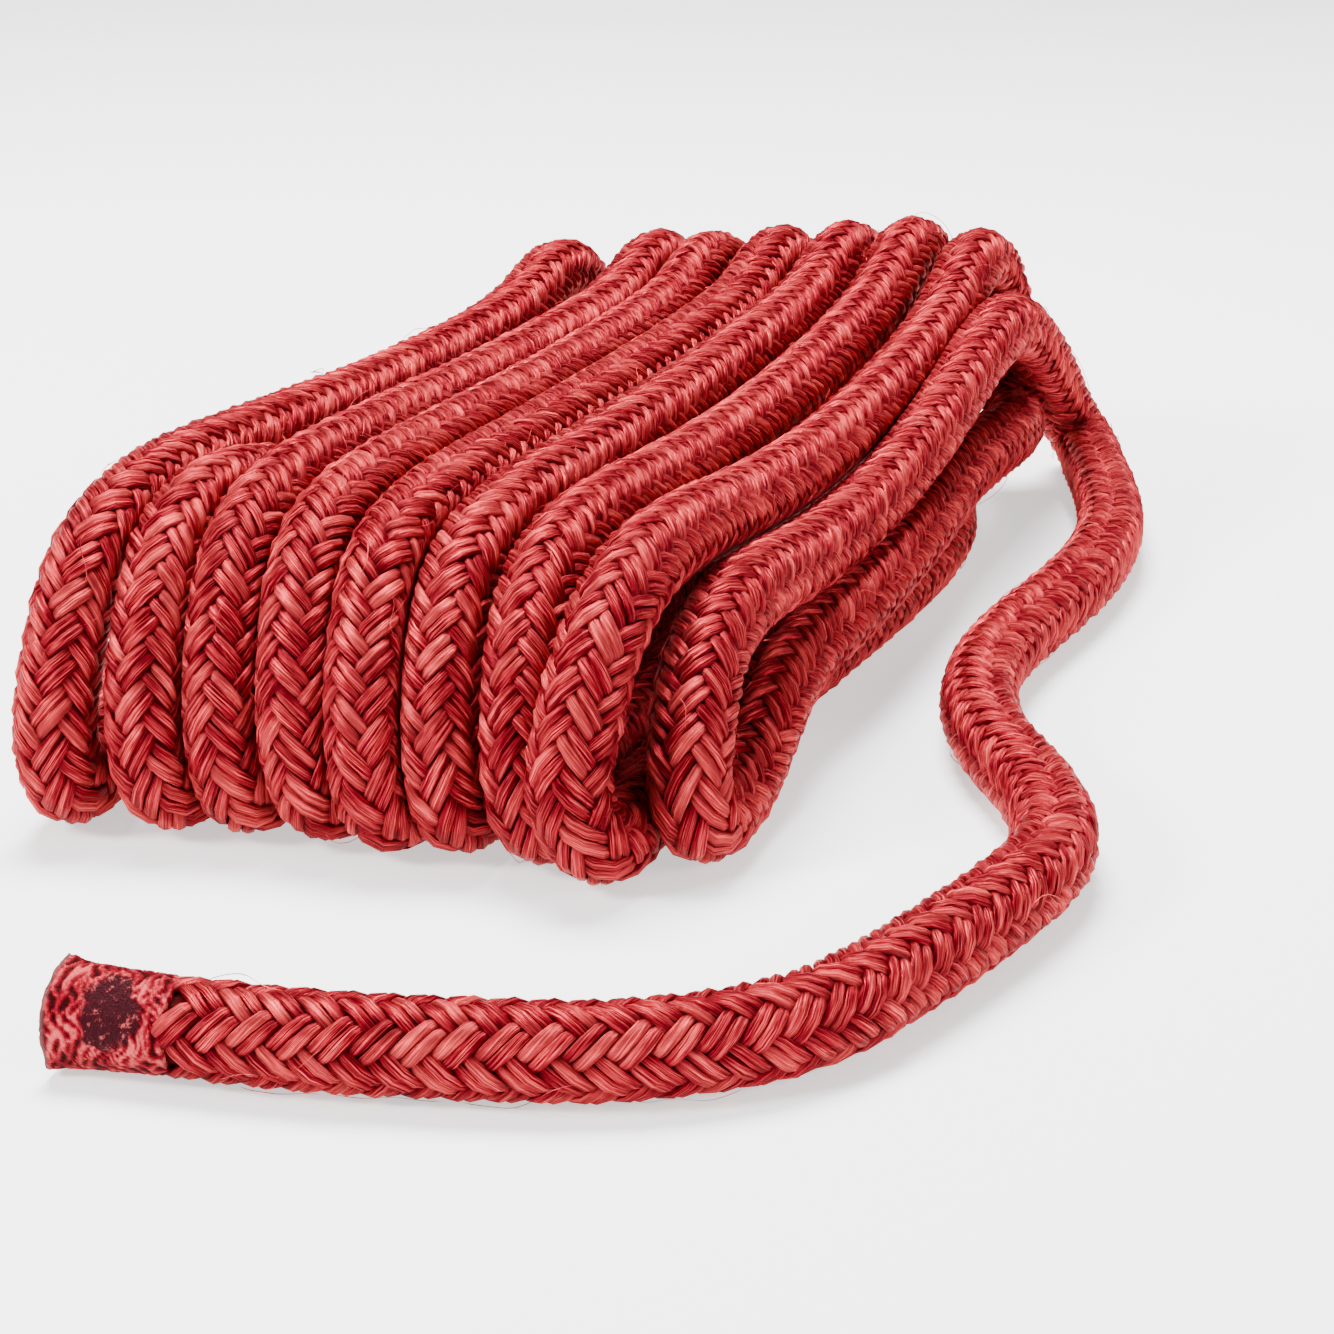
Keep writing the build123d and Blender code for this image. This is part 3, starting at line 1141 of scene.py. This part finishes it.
@dataclass
class Rope:
    """The whole rope: its route, inner body, braided cover and sealed ends.

    Args:
        route: where it lies.
        braid: its cover.
        inner: what is under the cover.
        sealed: its melted ends.
        fuzz: broken filaments on its cover.
        cover_pieces: how many pieces the cover is made in.
        line, body, tail_seal, standing_seal, loose, cover: what build makes.
    """

    route: Route = field(default_factory=Route)
    braid: Braid = field(default_factory=Braid)
    inner: InnerBody = field(default_factory=InnerBody)
    sealed: SealedEnd = field(default_factory=SealedEnd)
    fuzz: Fuzz = field(default_factory=Fuzz)
    cover_pieces: int = 12
    line: CentreLine = field(init=False)
    body: bpy.types.Object = field(init=False)
    tail_seal: bpy.types.Object = field(init=False)
    standing_seal: bpy.types.Object = field(init=False)
    loose: bpy.types.Object = field(init=False)
    cover: list[bpy.types.Object] = field(init=False, default_factory=list)

    def build(self) -> None:
        """Makes every mesh of the rope."""
        self.line = CentreLine(self.route.line())
        shell = self.inner.shell(self.line.length - 2 * self.sealed.length)
        shell.run += self.sealed.length
        self.body = shell.build("rope_body", self.line)
        self.tail_seal = self.sealed.shell(self.line, True).build("tail_seal", self.line)
        self.standing_seal = self.sealed.shell(self.line, False).build("standing_seal", self.line)
        chance = np.random.default_rng(COVER_SEED)
        # The last yarns dip under the seals.
        first = self.sealed.length - 0.05 * self.braid.pitch
        last = self.line.length - first
        cuts = np.linspace(first, last, self.cover_pieces + 1)
        for number, (start, end) in enumerate(zip(cuts, cuts[1:]), 1):
            shell = self.braid.shell(start, end, chance)
            self.cover.append(shell.build(f"cover_{number:02d}", self.line))
        filaments = self.fuzz.shell(first, last, np.random.default_rng(FUZZ_SEED))
        self.loose = filaments.build("loose_filaments", self.line)

    def pieces(self) -> list[bpy.types.Object]:
        """Lists every piece."""
        return [self.body, *self.cover, self.loose, self.tail_seal, self.standing_seal]

    def dress(self, finish: YarnFinish, buried: YarnFinish, melted: SealFinish) -> None:
        """Gives the pieces their finishes.

        Args:
            finish: of the cover's yarns.
            buried: of what lies under them, coloured dark as painted shade.
            melted: of the sealed ends.
        """
        self.body.data.materials.append(buried.make())
        seal = melted.make()
        self.tail_seal.data.materials.append(seal)
        self.standing_seal.data.materials.append(seal)
        material = finish.make()
        for piece in [*self.cover, self.loose]:
            piece.data.materials.append(material)

    def declare(self) -> None:
        """Attaches every piece to the root body and hides the model's parts that the rope stands in
        for.
        """
        seals = [self.tail_seal, self.standing_seal]
        for piece in [self.body, *self.cover, self.loose]:
            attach(piece, "root")
        for piece in seals:
            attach(piece, "root")
        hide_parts("hank", "tail_core", "standing_core")
        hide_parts("standing_cover")
        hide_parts("tail_cover")
        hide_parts("tail_end_seal")
        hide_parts("standing_end_seal")


# --- Surroundings ---


@dataclass(frozen=True)
class SoftLight:
    """One rectangular soft light.

    Args:
        name: its name.
        place: where it stands.
        size: its width and height.
        power: in watts.
    """

    name: str
    place: Point
    size: tuple[float, float]
    power: float

    def add(self, aim: Point) -> None:
        """Adds the light.

        Args:
            aim: the point it faces.
        """
        light = bpy.data.lights.new(self.name, "AREA")
        light.shape = "RECTANGLE"
        light.size, light.size_y = self.size
        light.energy = self.power
        holder = bpy.data.objects.new(self.name, light)
        holder.location = self.place
        way = Vector(aim) - Vector(self.place)
        holder.rotation_euler = way.to_track_quat("-Z", "Y").to_euler()
        bpy.context.scene.collection.objects.link(holder)


@dataclass(frozen=True)
class Studio:
    """Pale floor, soft lights and the camera.

    Args:
        camera_place: where the camera stands.
        camera_turn: its tilt from looking straight down, its roll and its heading, in degrees.
        lens: focal length in millimetres.
        sensor: width of the camera's sensor in millimetres.
        glow: strength of the surrounding white.
        floor_size: side of the square floor.
        aim: the point that the lights face.
        lights: the soft lights.
    """

    camera_place: Point = (0.1772, -0.4737, 0.1695)
    camera_turn: Point = (70.9, 0.0, 18.5)
    lens: float = 83.66
    sensor: float = 36.0
    glow: float = 0.45
    floor_size: float = 8.0
    aim: Point = (0.0, 0.0, 0.02)
    lights: tuple[SoftLight, ...] = (
        SoftLight("overhead", (-0.15, 0.25, 1.0), (0.55, 0.45), 40.0),
        SoftLight("front_left", (-0.60, -0.75, 0.65), (0.28, 0.28), 19.0),
        SoftLight("front_right", (0.95, -0.35, 0.5), (0.35, 0.35), 6.0),
    )

    def set_camera(self) -> None:
        """Adds the camera."""
        camera = bpy.data.objects.new("camera", bpy.data.cameras.new("camera"))
        camera.data.lens = self.lens
        camera.data.sensor_width = self.sensor
        camera.location = self.camera_place
        camera.rotation_euler = [math.radians(angle) for angle in self.camera_turn]
        bpy.context.scene.collection.objects.link(camera)
        bpy.context.scene.camera = camera

    def light(self) -> None:
        """Adds the lights and the surrounding glow."""
        for light in self.lights:
            light.add(self.aim)
        world = bpy.data.worlds.new("studio")
        world.use_nodes = True
        background = world.node_tree.nodes["Background"]
        background.inputs["Color"].default_value = (1.0, 1.0, 1.0, 1.0)
        background.inputs["Strength"].default_value = self.glow
        bpy.context.scene.world = world

    def lay_floor(self, finish: FloorFinish) -> None:
        """Adds the floor.

        Args:
            finish: of the floor.
        """
        bpy.ops.object.select_all(action="DESELECT")
        bpy.ops.mesh.primitive_plane_add(size=self.floor_size, location=(0.0, 0.0, 0.0))
        floor = bpy.context.active_object
        floor.name = "floor"
        floor.data.materials.append(finish.make())


FLOOR = FloorFinish(name="pale floor", colour=(0.95, 0.95, 0.95, 1.0))
RED_YARN = YarnFinish(
    name="red braid",
    shade_and_dark_yarn=(0.036, 0.0001, 0.0020, 1.0),
    body=(0.245, 0.0004, 0.0110, 1.0),
    pale=(1.0, 0.105, 0.104, 1.0),
)
# Painted shade: what lies under the cover is dark, as it is seen only in shade between the yarns.
CORE_PAINTED_SHADE = YarnFinish(
    name="buried braid",
    shade_and_dark_yarn=(0.050, 0.0002, 0.0016, 1.0),
    body=(0.090, 0.0004, 0.0030, 1.0),
    pale=(0.160, 0.001, 0.0050, 1.0),
    roughness=0.7,
    gloss=0.0,
)
MELTED_YARN = SealFinish(
    name="melted end",
    burnt=(0.022, 0.0006, 0.0035, 1.0),
    shade_and_dark_yarn=(0.022, 0.0001, 0.0010, 1.0),
    body=(0.210, 0.0006, 0.0100, 1.0),
    pale=(0.80, 0.12, 0.120, 1.0),
    rim=(0.14, 0.06, 0.06, 1.0),
)


def main() -> None:
    """Builds the dock line in its frame."""
    logging.basicConfig(level=logging.INFO, format="%(name)s: %(message)s")
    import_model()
    studio = Studio()
    studio.set_camera()
    rope = Rope()
    rope.build()
    rope.dress(RED_YARN, CORE_PAINTED_SHADE, MELTED_YARN)
    rope.declare()
    LOG.info("centre line %.3f m", rope.line.length)
    for piece in rope.pieces():
        LOG.info("%s: %d faces", piece.name, len(piece.data.polygons))
    studio.light()
    studio.lay_floor(FLOOR)


if __name__ == "__main__":
    main()
